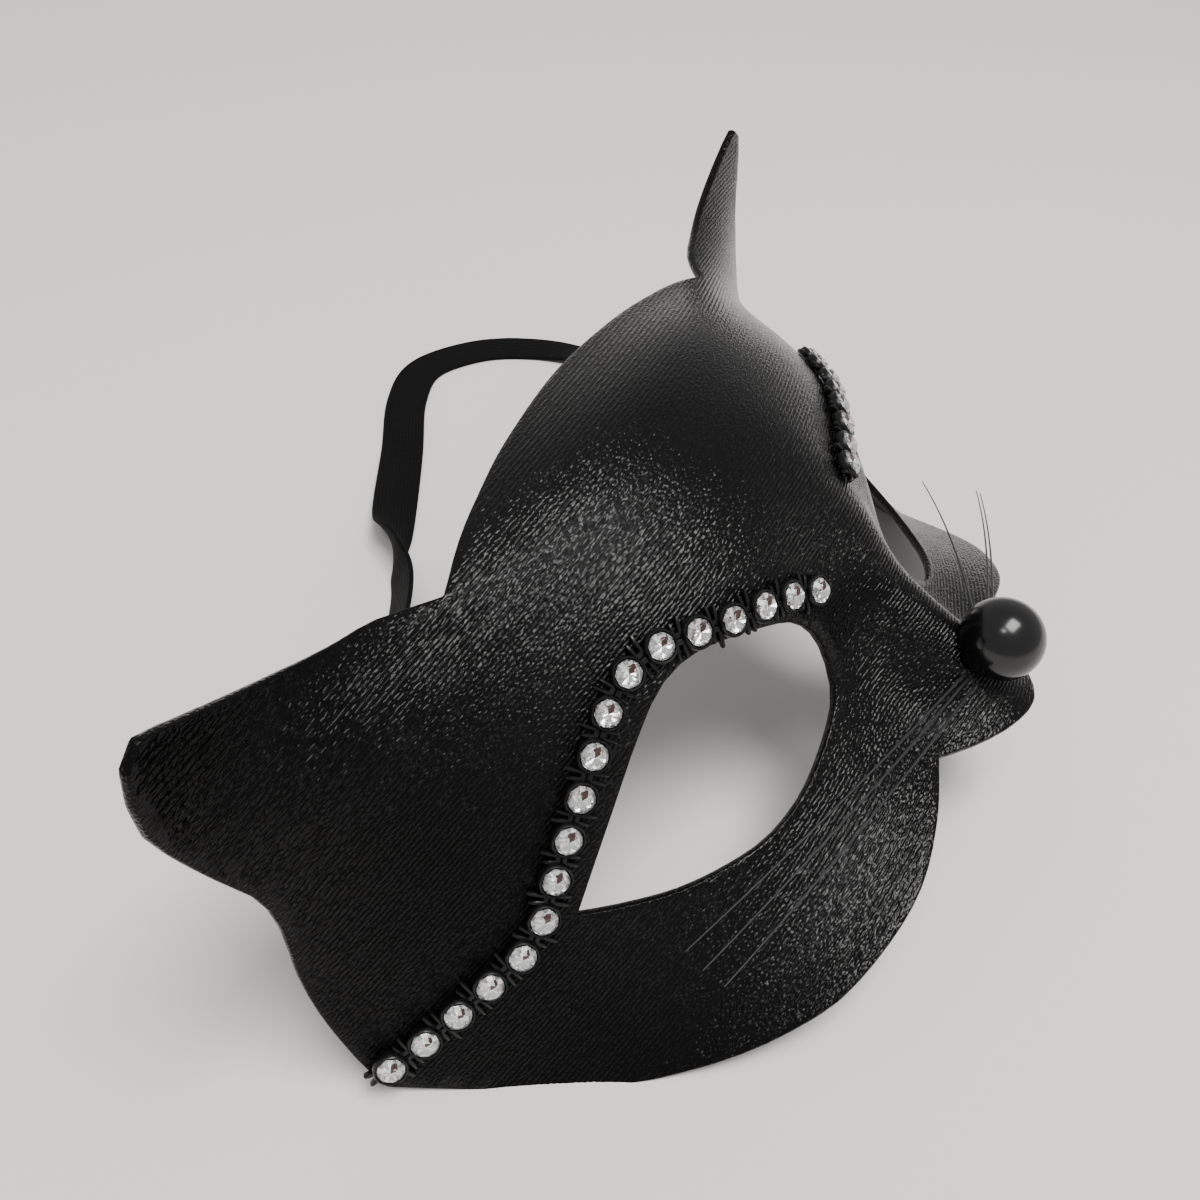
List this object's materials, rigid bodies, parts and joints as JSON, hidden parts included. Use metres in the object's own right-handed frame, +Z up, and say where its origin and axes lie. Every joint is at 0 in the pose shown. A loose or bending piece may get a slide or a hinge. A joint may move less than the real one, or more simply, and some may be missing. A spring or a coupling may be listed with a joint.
{
  "type": "cat mask",
  "caption": "Black half-face cat mask: thin ribbed shell with ears and eye holes, rhinestone trims over the brows, glossy ball nose and a flat elastic strap.",
  "frame": {"origin": "on the table the mask stands on, below the middle of the mask without its strap", "axes": "+X to the wearer's left, +Y from the nose back to the ears and the strap, +Z up"},
  "size_m": [0.2134, 0.1735, 0.0733],
  "materials": {
    "shell_black": "satin, finely ribbed, with fine glints",
    "nose_black": "polished",
    "trim_black": "semi-gloss",
    "crystal": "clear, cut, foil-backed",
    "elastic_black": "woven elastic"
  },
  "bodies": {
    "root": {"mask_shell": "shell_black", "nose_ball": "nose_black", "trim_right": "trim_black", "trim_left": "trim_black", "strap": "elastic_black", "stone_right_01": "crystal", "stone_right_02": "crystal", "stone_right_03": "crystal", "stone_right_04": "crystal", "stone_right_05": "crystal", "stone_right_06": "crystal", "stone_right_07": "crystal", "stone_right_08": "crystal", "stone_right_09": "crystal", "stone_right_10": "crystal", "stone_right_11": "crystal", "stone_right_12": "crystal", "stone_right_13": "crystal", "stone_right_14": "crystal", "stone_right_15": "crystal", "stone_right_16": "crystal", "stone_right_17": "crystal", "stone_right_18": "crystal", "stone_left_01": "crystal", "stone_left_02": "crystal", "stone_left_03": "crystal", "stone_left_04": "crystal", "stone_left_05": "crystal", "stone_left_06": "crystal", "stone_left_07": "crystal", "stone_left_08": "crystal", "stone_left_09": "crystal", "stone_left_10": "crystal", "stone_left_11": "crystal", "stone_left_12": "crystal", "stone_left_13": "crystal", "stone_left_14": "crystal", "stone_left_15": "crystal", "stone_left_16": "crystal", "stone_left_17": "crystal", "stone_left_18": "crystal"}
  },
  "joints": []
}
